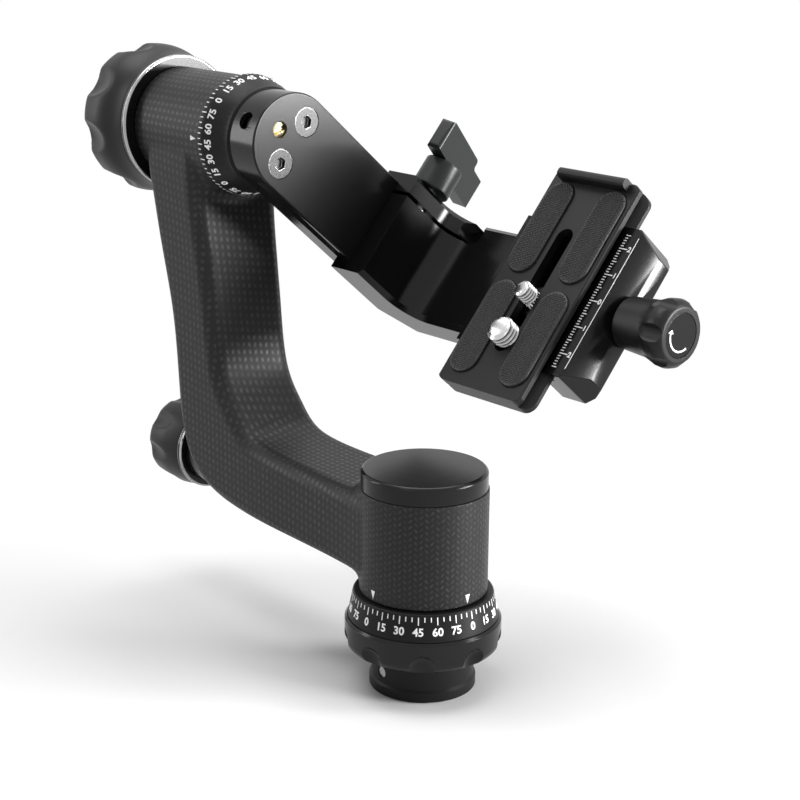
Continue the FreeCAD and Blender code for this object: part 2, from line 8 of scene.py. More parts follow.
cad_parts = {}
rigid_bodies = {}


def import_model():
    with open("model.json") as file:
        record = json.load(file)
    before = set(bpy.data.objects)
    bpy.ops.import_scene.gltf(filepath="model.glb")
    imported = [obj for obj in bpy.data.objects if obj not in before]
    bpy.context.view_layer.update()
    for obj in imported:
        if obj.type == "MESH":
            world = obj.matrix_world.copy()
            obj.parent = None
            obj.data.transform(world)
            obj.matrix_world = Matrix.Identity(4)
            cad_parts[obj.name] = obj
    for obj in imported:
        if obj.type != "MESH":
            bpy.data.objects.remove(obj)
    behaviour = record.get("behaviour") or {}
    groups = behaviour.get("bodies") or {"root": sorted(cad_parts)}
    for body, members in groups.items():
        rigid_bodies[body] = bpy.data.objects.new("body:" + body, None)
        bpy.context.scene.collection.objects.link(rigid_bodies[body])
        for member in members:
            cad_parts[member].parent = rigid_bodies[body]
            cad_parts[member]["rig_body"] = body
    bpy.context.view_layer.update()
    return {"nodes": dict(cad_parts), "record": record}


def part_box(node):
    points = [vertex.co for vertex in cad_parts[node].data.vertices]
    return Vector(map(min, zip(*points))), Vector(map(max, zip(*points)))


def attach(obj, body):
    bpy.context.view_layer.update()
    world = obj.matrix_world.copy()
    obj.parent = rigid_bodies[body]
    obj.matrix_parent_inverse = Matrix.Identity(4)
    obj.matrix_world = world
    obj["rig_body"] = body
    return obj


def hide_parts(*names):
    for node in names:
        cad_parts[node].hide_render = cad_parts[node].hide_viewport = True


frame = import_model()


# Studio: a pale paper floor under the head, a white surround for the eye and for gloss,
# and soft overhead, side and front panels. The camera stands where the photograph's did.
class Value:
    """A node's output that takes part in plain arithmetic."""

    def __init__(self, nodes, socket):
        self.nodes = nodes
        self.socket = socket

    def _math(self, operation, *terms):
        return self.nodes.node("ShaderNodeMath", {"operation": operation}, dict(enumerate(terms)))

    def __add__(self, other):
        return self._math("ADD", self, other)

    def __radd__(self, other):
        return self._math("ADD", other, self)

    def __sub__(self, other):
        return self._math("SUBTRACT", self, other)

    def __rsub__(self, other):
        return self._math("SUBTRACT", other, self)

    def __mul__(self, other):
        return self._math("MULTIPLY", self, other)

    def __rmul__(self, other):
        return self._math("MULTIPLY", other, self)

    def __truediv__(self, other):
        return self._math("DIVIDE", self, other)

    def __gt__(self, other):
        return self._math("GREATER_THAN", self, other)

    def __lt__(self, other):
        return self._math("LESS_THAN", self, other)

    def __mod__(self, other):
        return self._math("FLOORED_MODULO", self, other)

    def floor(self):
        return self._math("FLOOR", self)

    def size(self):
        return self._math("ABSOLUTE", self)

    def root(self):
        return self._math("SQRT", self)

    def sine(self):
        return self._math("SINE", self)

    def cosine(self):
        return self._math("COSINE", self)

    def turn_to(self, other):
        return self._math("ARCTAN2", self, other)

    def fade(self, low, high):
        return self.nodes.node("ShaderNodeMapRange", {"interpolation_type": "SMOOTHSTEP"},
                               {"Value": self, "From Min": low, "From Max": high})


class Nodes:
    """The nodes of one material, world or geometry tree."""

    def __init__(self, tree):
        self.tree = tree

    def node(self, kind, settings=None, sockets=None, out=0):
        """Adds one node: its settings, its sockets by name or number, and the output that is wanted."""
        made = self.tree.nodes.new(kind)
        for key, value in (settings or {}).items():
            setattr(made, key, value)
        for key, value in (sockets or {}).items():
            self.feed(made.inputs[key], value)
        return Value(self, made.outputs[out])

    def feed(self, socket, value):
        if isinstance(value, Value):
            self.tree.links.new(value.socket, socket)
        else:
            socket.default_value = value

    def mix(self, share, first, second):
        made = self.tree.nodes.new("ShaderNodeMix")
        made.data_type = "RGBA"
        for place, value in ((0, share), (6, first), (7, second)):
            self.feed(made.inputs[place], value)
        return Value(self, made.outputs[2])

    def split(self, vector):
        made = self.tree.nodes.new("ShaderNodeSeparateXYZ")
        self.feed(made.inputs[0], vector)
        return [Value(self, made.outputs[i]) for i in range(3)]

    def joined(self, x, y, z):
        return self.node("ShaderNodeCombineXYZ", None, {0: x, 1: y, 2: z})

    def direct(self):
        """1 for a ray that shows the backdrop to the eye, in gloss or through glass, else 0."""
        eye, gloss, glass = [self.node("ShaderNodeLightPath", out="Is %s Ray" % kind)
                             for kind in ("Camera", "Glossy", "Transmission")]
        return (eye + gloss + glass) > 0.5


class Finish(Nodes):
    """A named surface finish with its Principled shader."""

    def __init__(self, name, **uniform):
        self.material = bpy.data.materials.new(name)
        self.material.use_nodes = True
        super().__init__(self.material.node_tree)
        self.shader = self.tree.nodes["Principled BSDF"]
        for key, value in uniform.items():
            self.shader.inputs[key.replace("_", " ")].default_value = value

    def place(self):
        return self.node("ShaderNodeTexCoord", out="Object")

    def noise(self, scale, detail=2.0):
        return self.node("ShaderNodeTexNoise", {"noise_dimensions": "3D"},
                         {"Vector": self.place(), "Scale": scale, "Detail": detail})

    def set(self, **varying):
        for key, value in varying.items():
            self.feed(self.shader.inputs[key.replace("_", " ")], value)

    def bump(self, height, depth, strength):
        self.set(Normal=self.node("ShaderNodeBump", None,
                                  {"Height": height, "Distance": depth, "Strength": strength}))

    def speckled(self, dark, light, scale):
        """A tone that wanders between two colours."""
        self.set(Base_Color=self.mix(self.noise(scale), dark, light))

    def grained(self, scale, rough, spread, detail=2.0):
        """A fine grain in the roughness, given back for other uses."""
        grain = self.noise(scale, detail)
        self.set(Roughness=rough + grain * spread)
        return grain


def grey(level):
    return (level, level, level, 1)


scene = bpy.context.scene
scene.view_settings.view_transform = "Standard"
camera = bpy.data.objects.new("camera", bpy.data.cameras.new("camera"))
camera.data.sensor_width = 36
camera.data.lens = 78.784
camera.data.clip_start = 0.01
# The first three columns are the camera's right, up and backward, and the last is its place.
camera.matrix_world = Matrix(((0.6579, -0.2213, 0.7199, 0.38957),
                              (0.7531, 0.1835, -0.6318, -0.35260),
                              (0.0077, 0.9578, 0.2874, 0.25341),
                              (0, 0, 0, 1)))
scene.collection.objects.link(camera)
scene.camera = camera


def studio_paper():
    """Pale paper that holds the head's shadow and glows plain white further out."""
    shadow_r, white_r = 0.05, 0.34
    paper = Finish("studio_paper", Roughness=0.9)
    paper.speckled(grey(0.86), grey(0.9), 3.0)
    x, y, z = paper.split(paper.place())
    outer = (x * x + y * y).root().fade(shadow_r, white_r)
    glow = paper.node("ShaderNodeEmission", None, {"Color": grey(1.0), "Strength": 1.0})
    lit = paper.node("ShaderNodeMixShader", None,
                     {0: outer * paper.direct(), 1: Value(paper, paper.shader.outputs[0]), 2: glow})
    paper.feed(paper.tree.nodes["Material Output"].inputs["Surface"], lit)
    return paper


floor_half, floor_drop = 4, 0.0003
corners = [(x * floor_half, y * floor_half, -floor_drop) for x, y in ((-1, -1), (1, -1), (1, 1), (-1, 1))]
floor_mesh = bpy.data.meshes.new("floor")
floor_mesh.from_pydata(corners, [], [(0, 1, 2, 3)])
floor_mesh.materials.append(studio_paper().material)
floor = bpy.data.objects.new("floor", floor_mesh)
scene.collection.objects.link(floor)

room_light = 0.07
world = bpy.data.worlds.new("surround")
scene.world = world
world.use_nodes = True
surround = Nodes(world.node_tree)
shown = surround.direct()
background = world.node_tree.nodes["Background"]
surround.feed(background.inputs["Color"], grey(1.0))
surround.feed(background.inputs["Strength"], shown + (1 - shown) * room_light)


def panel(name, place, wide, tall, power):
    """A soft rectangular lamp turned towards the middle of the head."""
    light = bpy.data.lights.new(name, "AREA")
    light.shape = "RECTANGLE"
    light.size = wide
    light.size_y = tall
    light.energy = power
    lamp = bpy.data.objects.new(name, light)
    lamp.location = place
    lamp.rotation_euler = (head_middle - Vector(place)).to_track_quat("-Z", "Y").to_euler()
    scene.collection.objects.link(lamp)


head_middle = Vector((-0.03, 0.0, 0.1))
panel("overhead", (-0.2, 0.1, 1.15), 1.1, 0.9, 13.0)
panel("left_side", (-1.0, -0.7, 0.5), 0.2, 0.9, 3.5)
panel("right_side", (0.75, 0.75, 0.7), 0.3, 0.6, 6.0)
panel("low_right", (0.9, 0.62, 0.17), 0.45, 0.2, 19.0)
panel("front_fill", (0.35, -1.15, 0.9), 0.5, 0.5, 1.0)


# Carbon arm: one moulded J of twill prepreg with both round housings in it, under a
# satin lacquer. The weave lies flat on the sides and wraps round the two housings.
def ridden(name, mesh, body):
    """A finished mesh as a piece that rides with a body."""
    piece = bpy.data.objects.new(name, mesh)
    scene.collection.objects.link(piece)
    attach(piece, body)
    return piece


def stand_for(name, mesh, node):
    """A piece that stands for a CAD node, with that node's body."""
    piece = ridden(name, mesh, frame["nodes"][node]["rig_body"])
    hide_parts(node)
    return piece


def evaluated(holder):
    """The plain mesh of an object with its modifiers or text worked out; the object goes."""
    bpy.context.view_layer.update()
    mesh = bpy.data.meshes.new_from_object(holder.evaluated_get(bpy.context.evaluated_depsgraph_get()))
    bpy.data.objects.remove(holder)
    return mesh


def eased(node, finish, width, angle=30, edge_finish=None):
    """A welded copy of a CAD node with its hard edges broken, standing for that node."""
    weld_gap, flat_angle, sharp_angle = 2e-6, 0.3, 35
    mesh = frame["nodes"][node].data.copy()
    mesh.materials.clear()
    work = bmesh.new()
    work.from_mesh(mesh)
    bmesh.ops.remove_doubles(work, verts=work.verts, dist=weld_gap)
    bmesh.ops.dissolve_limit(work, angle_limit=math.radians(flat_angle), verts=work.verts, edges=work.edges)
    work.to_mesh(mesh)
    work.free()
    mesh.materials.append(finish.material)
    mesh.shade_smooth()
    mesh.set_sharp_from_angle(angle=math.radians(sharp_angle))
    raw = bpy.data.objects.new(node + "_raw", mesh)
    scene.collection.objects.link(raw)
    edge = raw.modifiers.new("edge", "BEVEL")
    edge.width = width
    edge.segments = 3
    edge.limit_method = "ANGLE"
    edge.angle_limit = math.radians(angle)
    edge.use_clamp_overlap = True
    if edge_finish:
        mesh.materials.append(edge_finish.material)
        edge.material = 1
    even = raw.modifiers.new("even", "WEIGHTED_NORMAL")
    even.weight = 100
    return stand_for(node + "_made", evaluated(raw), node)


def carbon_twill():
    """Rows of small oval tows: along the flat sides, and wound round each housing."""
    slack, side_share, upright_lean = 0.0004, 0.6, 0.07
    carbon = Finish("carbon_twill", Specular_IOR_Level=0.3)
    x, y, z = carbon.split(carbon.place())
    face_x, face_y, face_z = carbon.split(carbon.node("ShaderNodeTexCoord", out="Normal"))
    tilt_up = z - tilt_height
    on_pan = (x * x + y * y).root() < pan_house_r + slack
    on_tilt = ((y * y + tilt_up * tilt_up).root() < tilt_house_r + slack) * (z > tilt_house_low)
    on_side = face_y.size() > side_share
    on_upright = face_x.size() > face_z.size()
    flat_u = on_side * x + (1 - on_side) * y
    flat_v = on_side * (z - upright_lean * x) + (1 - on_side) * (on_upright * z + (1 - on_upright) * x)
    flat = (1 - on_pan) * (1 - on_tilt)
    u = flat * flat_u + on_pan * (y.turn_to(x) * pan_house_r) + on_tilt * (tilt_up.turn_to(y) * tilt_house_r)
    v = flat * flat_v + on_pan * z + on_tilt * x
    tow_wide = 0.0024 - 0.0007 * on_pan
    tow_long = 0.0026 - 0.0006 * on_pan
    across = u / tow_wide
    column = across.floor()
    odd = column % 2.0
    along = v / tow_long + column * 0.16 + on_pan * odd * 0.4
    cell_u = across % 1.0 - 0.5
    cell_v = along % 1.0 - 0.5
    slant = (0.16 + on_pan * 0.5) * (odd * 2 - 1)
    leaned = cell_u + slant * cell_v
    tow = 1 - (leaned * leaned / 0.13 + cell_v * cell_v / 0.2).root().fade(0.25, 1.0)
    own = carbon.node("ShaderNodeTexWhiteNoise", {"noise_dimensions": "2D"},
                      {"Vector": carbon.joined(column, along.floor(), 0.0)})
    bright = tow * (0.25 + carbon.noise(26.0) * 0.8) * (0.45 + own * 0.75)
    carbon.set(Base_Color=carbon.mix(bright, grey(0.003), grey(0.04)), Roughness=0.5 - 0.12 * tow)
    carbon.bump(tow, 0.00005, 0.55)
    return carbon


joints = {joint["name"]: joint for joint in frame["record"]["behaviour"]["joints"]}
tilt_height = joints["tilt"]["pos_m"][2]
pan_house_r, tilt_house_r, tilt_house_low = 0.0208, 0.0195, 0.1492
eased("carbon_arm", carbon_twill(), 0.0005)


# Pointers on the carbon: small white printed triangles, one over the tilt scale and
# two over the pan scale.
print_white = Finish("white_print", Roughness=0.55)
print_white.speckled(grey(0.88), grey(0.96), 1500.0)


def laid(mesh, place, lift=0.00002):
    """Moves a flat mesh on to a surface: place turns its (x, y) into a point and a normal."""
    for vertex in mesh.vertices:
        point, out = place(vertex.co.x, vertex.co.y)
        vertex.co = Vector(point) + Vector(out) * (lift + vertex.co.z)
    return mesh


def printed(name, meshes, body):
    """Printed marks joined into one white piece."""
    work = bmesh.new()
    for mesh in meshes:
        work.from_mesh(mesh)
    whole = bpy.data.meshes.new(name)
    work.to_mesh(whole)
    work.free()
    whole.materials.append(print_white.material)
    ridden(name, whole, body)


def flat_shape(name, outlines):
    """A thin flat mesh from closed outlines, cut fine enough to wrap round a tube."""
    ink = 0.00004
    work = bmesh.new()
    for outline in outlines:
        corners = [work.verts.new((x, y, 0)) for x, y in outline]
        work.faces.new(corners)
    bmesh.ops.triangulate(work, faces=work.faces)
    bmesh.ops.subdivide_edges(work, edges=work.edges, cuts=2, use_grid_fill=True)
    lifted = bmesh.ops.extrude_face_region(work, geom=work.faces[:])
    for item in lifted["geom"]:
        if isinstance(item, bmesh.types.BMVert):
            item.co.z = ink
    bmesh.ops.recalc_face_normals(work, faces=work.faces)
    mesh = bpy.data.meshes.new(name)
    work.to_mesh(mesh)
    work.free()
    return mesh


def pan_wall(angle, height, radius):
    """Places print on a tube round the pan axis."""
    def place(x, y):
        turn = math.radians(angle) + x / radius
        out = (math.cos(turn), math.sin(turn), 0)
        return (radius * out[0], radius * out[1], height + y), out
    return place


def tilt_wall(angle, along_x, radius):
    """Places print on a tube round the tilt axis, its top towards -X."""
    def place(x, y):
        turn = math.radians(angle) - x / radius
        out = (0, math.cos(turn), math.sin(turn))
        return (along_x - y, radius * out[1], tilt_height + radius * out[2]), out
    return place


half_wide, half_tall = 0.0009, 0.0015
pointer = [(-half_wide, half_tall), (0.0, -half_tall), (half_wide, half_tall)]
walls = {"pan_pointer_0": pan_wall(-91.8, 0.0353, pan_house_r),
         "pan_pointer_1": pan_wall(-0.2, 0.0353, pan_house_r),
         "tilt_pointer": tilt_wall(180, -0.0958, tilt_house_r)}
for name, wall in walls.items():
    printed(name, [laid(flat_shape("pointer", [pointer]), wall, 0.00003)], "arm")


# Pan base: an anodised neck, a gloss grip ring with round dents and the sloping ring
# that carries the pan scale, all turned from alloy.
gloss_black = Finish("gloss_black_anodised", Specular_IOR_Level=0.24)
gloss_black.speckled(grey(0.004), grey(0.007), 40.0)
gloss_black.bump(gloss_black.grained(2600.0, 0.15, 0.07), 0.000006, 0.35)
satin_black = Finish("satin_black_anodised", Specular_IOR_Level=0.14)
satin_black.speckled(grey(0.006), grey(0.01), 50.0)
satin_black.bump(satin_black.grained(2200.0, 0.34, 0.14), 0.000012, 0.5)
eased("base_neck", satin_black, 0.0003)
eased("grip_ring", gloss_black, 0.0006, 25)
eased("pan_scale_ring", satin_black, 0.0003)


# Steel inside the head: turned bush, spindle, shaft, bearings, rods, stud and pins.
# Most are hidden, and all have the same plain turned finish.
steel = Finish("turned_steel", Metallic=1.0)
grain = steel.grained(1800.0, 0.25, 0.05, 3.0)
steel.set(Base_Color=steel.mix(grain, grey(0.46), grey(0.56)))
for node in ("thread_bush", "base_set_screw", "pan_spindle", "pan_bearing_lower", "pan_bearing_upper",
             "tilt_bearing_outer", "tilt_bearing_inner", "tilt_shaft", "pan_lock_rod", "clamp_stud",
             "guide_pin_low", "guide_pin_high", "clamp_screw"):
    eased(node, steel, 0.00015)


# Pan scale: numbers each 15 degrees, four times nought to 75, and a tick each 5 degrees,
# printed in white on the sloping ring.
def from_geometry_nodes(name, tree, values):
    """Runs a geometry tree on an empty mesh and keeps the result as a plain mesh."""
    carrier = bpy.data.objects.new(name, bpy.data.meshes.new(name))
    scene.collection.objects.link(carrier)
    modifier = carrier.modifiers.new(name, "NODES")
    modifier.node_group = tree
    for item in tree.interface.items_tree:
        if item.in_out == "INPUT" and item.name in values:
            modifier[item.identifier] = values[item.name]
    return evaluated(carrier)


def new_tree(name, **inputs):
    """An empty geometry tree with named inputs; whole numbers become integer sockets."""
    tree = bpy.data.node_groups.new(name, "GeometryNodeTree")
    tree.interface.new_socket(name="Geometry", in_out="OUTPUT", socket_type="NodeSocketGeometry")
    for key, value in inputs.items():
        kind = "NodeSocketInt" if isinstance(value, int) else "NodeSocketFloat"
        socket = tree.interface.new_socket(name=key, in_out="INPUT", socket_type=kind)
        socket.default_value = value
    nodes = Nodes(tree)
    entry = tree.nodes.new("NodeGroupInput")
    return tree, nodes, {key: Value(nodes, entry.outputs[key]) for key in inputs}


def finish_tree(nodes, geometry, finish):
    """Ends a tree in Realize Instances and Set Material."""
    real = nodes.node("GeometryNodeRealizeInstances", None, {"Geometry": geometry})
    painted = nodes.node("GeometryNodeSetMaterial", None, {"Geometry": real, "Material": finish.material})
    exit_node = nodes.tree.nodes.new("NodeGroupOutput")
    nodes.feed(exit_node.inputs[0], painted)


def ring_of_ticks():
    """Ticks round a cone: every third one is long, all start at the same edge."""
    tree, nodes, size = new_tree("ring_of_ticks", Count=72, Radius=0.022, Short=0.0014, Long=0.0026,
                                 Width=0.0003, Thick=0.00008, Lean=0.2, Start=0.0)
    index = nodes.node("GeometryNodeInputIndex")
    angle = size["Start"] + index * (2 * math.pi) / size["Count"]
    spot = nodes.joined(angle.cosine() * size["Radius"], angle.sine() * size["Radius"], 0.0)
    spots = nodes.node("GeometryNodeMeshLine", {"mode": "OFFSET"},
                       {"Count": size["Count"], "Offset": (0, 0, 0)})
    spots = nodes.node("GeometryNodeSetPosition", None, {"Geometry": spots, "Position": spot})
    bar = nodes.node("GeometryNodeMeshCube", None, {"Size": nodes.joined(size["Thick"], size["Width"], 1.0)})
    bar = nodes.node("GeometryNodeTransform", None, {"Geometry": bar, "Translation": (0, 0, -0.5)})
    is_long = (index % 3.0) < 0.5
    length = size["Short"] + is_long * (size["Long"] - size["Short"])
    ticks = nodes.node("GeometryNodeInstanceOnPoints", None,
                       {"Points": spots, "Instance": bar, "Rotation": nodes.joined(0.0, size["Lean"], angle),
                        "Scale": nodes.joined(1.0, 1.0, length)})
    finish_tree(nodes, ticks, print_white)
    return tree


tick_tree = ring_of_ticks()


def scale_figure(text, height):
    """A printed number as a thin mesh, centred on its own middle."""
    line_height, swell, ink = 1.38, 0.035, 0.00003
    curve = bpy.data.curves.new("figure", "FONT")
    curve.body = text
    curve.size = height * line_height
    curve.align_x = "CENTER"
    curve.align_y = "CENTER"
    curve.offset = height * swell
    curve.extrude = ink
    curve.resolution_u = 3
    holder = bpy.data.objects.new("figure", curve)
    scene.collection.objects.link(holder)
    return evaluated(holder)


def cone_wall(angle, low, high, at):
    """Places print on a cone round the pan axis, at a height from its low edge; low and
    high are the edges' radius and height."""
    slope = math.hypot(high[1] - low[1], low[0] - high[0])
    rise = (high[1] - low[1]) / slope
    draw = (low[0] - high[0]) / slope

    def place(x, y):
        run = at + y
        radius = low[0] - draw * run
        turn = math.radians(angle) + x / radius
        out = (rise * math.cos(turn), rise * math.sin(turn), draw)
        return (radius * math.cos(turn), radius * math.sin(turn), low[1] + rise * run), out
    return place


figure_step, figure_tall, tick_count = 15, 0.0026, 72
scale_texts = [str(step % 6 * figure_step) for step in range(360 // figure_step)]
pan_zero = -90.6
pan_low, pan_high = (0.0245, 0.0238), (0.0228, 0.0322)
pan_lean = math.atan((pan_low[0] - pan_high[0]) / (pan_high[1] - pan_low[1]))
marks = []
for step, text in enumerate(scale_texts):
    wall = cone_wall(pan_zero + figure_step * step, pan_low, pan_high, 0.0034)
    marks.append(laid(scale_figure(text, figure_tall), wall))
ticks = from_geometry_nodes("pan_ticks", tick_tree,
                            {"Count": tick_count, "Radius": pan_high[0] + 0.00011, "Short": 0.0015,
                             "Long": 0.0025, "Width": 0.00032, "Lean": -pan_lean,
                             "Start": math.radians(pan_zero)})
ticks.transform(Matrix.Translation((0, 0, pan_high[1] - 0.0003)))
printed("pan_scale_print", marks + [ticks], "base")


# Pan cap: a turned gloss black lid pressed into the top of the pan housing.
eased("pan_cap", gloss_black, 0.0003)


# Tilt scale: a satin black ring with a sloping printed face, turning with the swing arm
# against the carbon housing. It is numbered as the pan scale is.
eased("tilt_scale_ring", satin_black, 0.0002)
tilt_zero = 228.4
rim, hub = (0.02013, 0.0028), (0.01735, 0.01065)
z_to_x = Matrix(((0, 0, 1, 0), (1, 0, 0, 0), (0, 1, 0, 0), (0, 0, 0, 1)))
on_tilt_axis = Matrix.Translation((-0.09185, 0, tilt_height)) @ z_to_x
marks = []
for step, text in enumerate(scale_texts):
    figure = scale_figure(text, figure_tall)
    figure.transform(Matrix.Diagonal((-1, -1, 1, 1)))
    laid(figure, cone_wall(tilt_zero - figure_step * step, rim, hub, 0.0019))
    figure.transform(on_tilt_axis)
    marks.append(figure)
ticks = from_geometry_nodes("tilt_ticks", tick_tree,
                            {"Count": tick_count, "Radius": rim[0] + 0.00032, "Short": 0.0013,
                             "Long": 0.0023, "Width": 0.00034, "Lean": -0.02,
                             "Start": math.radians(tilt_zero)})
ticks.transform(on_tilt_axis @ Matrix.Diagonal((1, 1, -1, 1)) @ Matrix.Translation((0, 0, -0.00025)))
ticks.flip_normals()
printed("tilt_scale_print", marks + [ticks], "swing")


# Tilt and pan lock knobs: moulded soft-touch knobs with eight domed lobes that fade
# into a round skirt, each against a gloss black ring with polished corners.
def skinned(name, rings, finish, sharp, merge=None):
    """A closed skin over a stack of point rings, smooth but for edges above an angle."""
    work = bmesh.new()
    stack = [[work.verts.new(point) for point in ring] for ring in rings]
    for below, above in zip(stack, stack[1:]):
        for k in range(len(below)):
            n = (k + 1) % len(below)
            work.faces.new((below[k], below[n], above[n], above[k]))
    work.faces.new(stack[0][::-1])
    work.faces.new(stack[-1])
    if merge:
        bmesh.ops.remove_doubles(work, verts=work.verts, dist=merge)
    bmesh.ops.recalc_face_normals(work, faces=work.faces)
    mesh = bpy.data.meshes.new(name)
    work.to_mesh(mesh)
    work.free()
    mesh.materials.append(finish.material)
    mesh.shade_smooth()
    mesh.set_sharp_from_angle(angle=math.radians(sharp))
    return mesh


def smooth_step(value, low, high):
    share = min(max((value - low) / (high - low), 0.0), 1.0)
    return share * share * (3 - 2 * share)


def rounded_profile(corners):
    """Points along (distance, radius, rounding) corners, each corner turned on an arc."""
    arc_steps = 6
    points = []
    for i, (x, r, cut) in enumerate(corners):
        corner = Vector((x, r))
        if cut == 0:
            points.append(corner)
            continue
        before = Vector(corners[i - 1][:2]) - corner
        after = Vector(corners[i + 1][:2]) - corner
        a = corner + before.normalized() * min(cut, before.length * 0.49)
        b = corner + after.normalized() * min(cut, after.length * 0.49)
        for k in range(arc_steps + 1):
            t = k / arc_steps
            points.append(a.lerp(corner, t).lerp(corner.lerp(b, t), t))
    return points


def subdivided(points, longest):
    """The same line with no piece much longer than the given length."""
    fine = []
    for start, end in zip(points, points[1:]):
        steps = max(1, int((end - start).length / longest))
        fine += [start.lerp(end, k / steps) for k in range(steps)]
    return fine + [points[-1]]


def fluted_ring(far, radius, cutter, stand, phase):
    """One ring of a knob along -X, with round flutes cut by cylinders that stand off its axis."""
    sector = 2 * math.pi / knob_lobes
    ring = []
    for k in range(knob_turns):
        a = 2 * math.pi * k / knob_turns
        near = (a - phase + sector / 2) % sector - sector / 2
        r = radius
        if abs(stand * math.sin(near)) < cutter:
            cut = stand * math.cos(near) - math.sqrt(cutter ** 2 - (stand * math.sin(near)) ** 2)
            r = r - 0.5 * (r - cut + math.sqrt((r - cut) ** 2 + 1e-7))
        ring.append((-far, r * math.cos(a), r * math.sin(a)))
    return ring


def lobed(name, flat, length, r_out, r_ring, phase):
    """One lock knob: skirt next to the ring, domed lobes, dished end."""
    end, dish = flat + length, 0.0022
    profile = rounded_profile([
        (flat, 0.006, 0), (flat, r_ring - 0.0003, 0.0004), (flat + 0.18 * length, r_ring + 0.0004, 0.002),
        (flat + 0.5 * length, r_out, 0.004), (end, r_out - 0.0008, 0.0036), (end, 0.62 * r_out, 0.0012),
        (end - dish, 0.54 * r_out, 0.0012), (end - dish, 0.001, 0)])
    cutter = 0.34 * r_out
    rings = []
    for far, radius in subdivided(profile, 0.0008):
        bite = 0.15 * smooth_step(far, flat + 0.05 * length, flat + 0.95 * length) - 0.015
        rings.append(fluted_ring(far, radius, cutter, r_out + cutter - bite * r_out, phase))
    return skinned(name, rings, soft_touch, 50)


soft_touch = Finish("soft_touch_black", Specular_IOR_Level=0.24)
soft_touch.speckled(grey(0.004), grey(0.008), 60.0)
soft_touch.bump(soft_touch.grained(3000.0, 0.33, 0.12), 0.00002, 0.4)
knob_lobes, knob_turns = 8, 384
for node, joint, r_out, r_ring, phase in (("tilt_knob", "tilt_lock_turn", 0.0266, 0.0236, 12),
                                          ("pan_knob", "pan_lock_turn", 0.0162, 0.0150, 8)):
    low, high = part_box(node)
    knob = lobed(node + "_made", -high.x, high.x - low.x, r_out, r_ring, math.radians(phase))
    knob.transform(Matrix.Translation((0, 0, joints[joint]["pos_m"][2])))
    stand_for(node + "_made", knob, node)
bright_edge = Finish("bright_cut_edge", Metallic=1.0, Roughness=0.25)
bright_edge.speckled(grey(0.3), grey(0.45), 1200.0)
for node in ("tilt_knob_ring", "pan_knob_ring"):
    eased(node, gloss_black, 0.0004, 30, bright_edge)
eased("pan_lock_collar", gloss_black, 0.0004)


# Swing arm: a thick gloss black rail with a round end at the tilt axis, held by two
# steel cap screws, with a slotted brass pin between them.
def swing_point(x, l, n):
    """A point of the tilted swing arm's own frame, in metres."""
    c, s = math.cos(swing_lean), math.sin(swing_lean)
    return Vector((x, l * c - n * s, tilt_height + l * s + n * c))


def slotted_pin(x_face, radius, height):
    """A domed pin head with a sloping slot across it, facing +X."""
    dome, slot_deep, slot_half, slot_edge, length = 0.0006, 0.0011, 0.0004, 0.0005, 0.0055
    slot_y, slot_z = 0.5, 0.866
    rings_out, sides = 12, 64
    turns = [2 * math.pi * k / sides for k in range(sides)]
    rings = []
    for step in range(rings_out + 1):
        r = radius * step / rings_out
        ring = []
        for a in turns:
            y, z = r * math.cos(a), r * math.sin(a)
            across = abs(y * slot_y + z * slot_z)
            dip = slot_deep * (1 - smooth_step(across, slot_half, slot_half + slot_edge))
            ring.append((x_face - dome * (r / radius) ** 3 - dip, y, z))
        rings.append(ring)
    rings.append([(x_face - length, radius * math.cos(a), radius * math.sin(a)) for a in turns])
    mesh = skinned("slotted_pin", rings, brass, 30, merge=1e-7)
    mesh.transform(to_swing @ Matrix.Translation((0, 0, height)))
    return mesh


swing_lean = math.radians(49.16)
to_swing = Matrix.Translation((0, 0, tilt_height)) @ Matrix.Rotation(swing_lean, 4, "X")
eased("swing_arm", gloss_black, 0.00045)
dark_steel = Finish("dark_turned_steel", Metallic=1.0)
grain = dark_steel.grained(1600.0, 0.22, 0.12, 3.0)
dark_steel.set(Base_Color=dark_steel.mix(grain, grey(0.025), grey(0.045)))
for node in ("hub_set_screw", "arm_screw_low", "arm_screw_high"):
    eased(node, dark_steel, 0.00018, 30, bright_edge)
brass = Finish("turned_brass", Metallic=1.0, Roughness=0.25)
brass.speckled((0.72, 0.55, 0.26, 1), (0.9, 0.76, 0.48, 1), 1500.0)
stand_for("arm_pin_made", slotted_pin(-0.0662, 0.0028, 0.0074), "arm_pin")


# Sliding bracket: an L milled from one bar and anodised gloss black, gripping the rail.
# Its clamping lever is satin dark grey.
eased("bracket", gloss_black, 0.0003)
satin_grey = Finish("satin_dark_grey", Specular_IOR_Level=0.3)
satin_grey.speckled((0.006, 0.0075, 0.0075, 1), (0.011, 0.013, 0.013, 1), 40.0)
satin_grey.grained(2000.0, 0.3, 0.12)
eased("bracket_lever", satin_grey, 0.0006)


# Quick-release clamp: fixed half on the bracket, moving jaw beside it, and the tapered
# soft-touch knob with six lobes and a capped end.
eased("clamp_base", gloss_black, 0.0004)
eased("clamp_jaw", gloss_black, 0.0004)
eased("clamp_knob", soft_touch, 0.0005)
eased("clamp_knob_disc", gloss_black, 0.0002)


